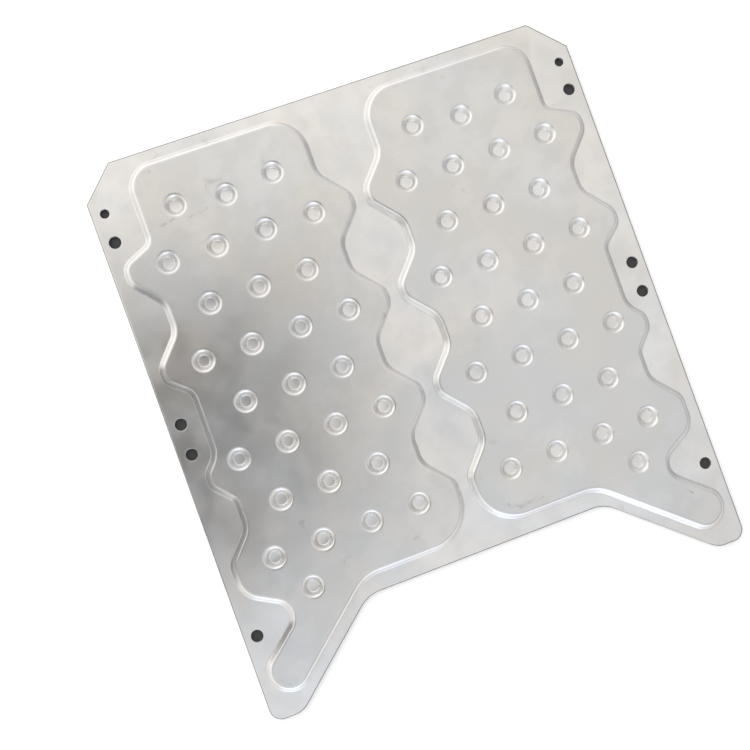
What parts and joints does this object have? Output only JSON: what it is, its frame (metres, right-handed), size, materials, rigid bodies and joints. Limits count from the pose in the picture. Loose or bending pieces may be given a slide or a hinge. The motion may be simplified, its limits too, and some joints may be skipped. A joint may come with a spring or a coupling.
{
  "type": "battery cooling plate",
  "caption": "Flat aluminium liquid cooling plate: a stamped sheet with wavy, dimpled coolant channels and angled legs, brazed to a flat base sheet with bolt holes along both sides.",
  "frame": {"origin": "middle of the plate's outline, on the underside of the base sheet", "axes": "+Z away from the base sheet, on the channel side; +Y towards the plain top edge, away from the legs; +X across the plate"},
  "size_m": [0.28, 0.312, 0.0062],
  "materials": {
    "channel_sheet": "satin",
    "base_sheet": "satin"
  },
  "bodies": {
    "root": {"channel_sheet": "channel_sheet", "base_sheet": "base_sheet"}
  },
  "joints": []
}
